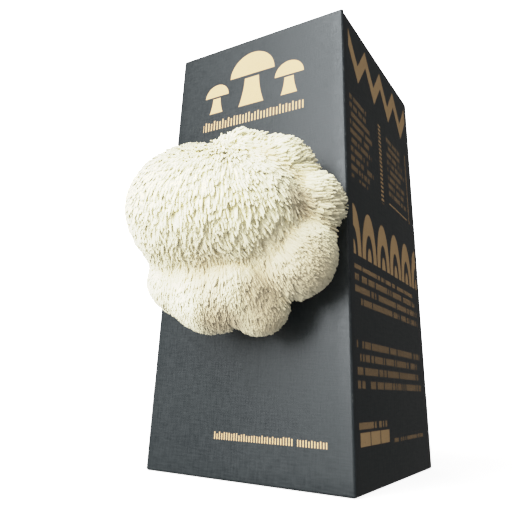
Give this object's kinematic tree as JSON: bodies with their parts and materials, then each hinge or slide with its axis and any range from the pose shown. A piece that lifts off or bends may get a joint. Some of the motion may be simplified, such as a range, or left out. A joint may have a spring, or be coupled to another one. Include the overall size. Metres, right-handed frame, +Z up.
{
  "type": "lions mane mushroom grow kit",
  "caption": "Tall tuck-top board carton holding a bagged sawdust block, with a lobed, spiny white mushroom grown out through the window in its front.",
  "frame": {"origin": "middle of the carton's base, on the surface that it stands on", "axes": "+Z up, -Y out of the front face that the mushroom grows from, +X to the right seen from the front"},
  "size_m": [0.0949, 0.1531, 0.2],
  "materials": {
    "charcoal_board": "satin laminated board, charcoal with tan print",
    "colonised_sawdust": "pale sawdust bound by white threads",
    "clear_film": "clear, creased film",
    "cream_flesh": "soft cream spines"
  },
  "bodies": {
    "kit": {"carton": "charcoal_board", "substrate_block": "colonised_sawdust", "grow_bag": "clear_film", "lions_mane": "cream_flesh"},
    "lid": {"carton_lid": "charcoal_board"}
  },
  "joints": [
    {"name": "lid_crease", "type": "hinge", "parent": "kit", "child": "lid", "pos_m": [0, 0.05, 0.1988], "axis": [-1, 0, 0], "range_deg": [0, 180]}
  ]
}
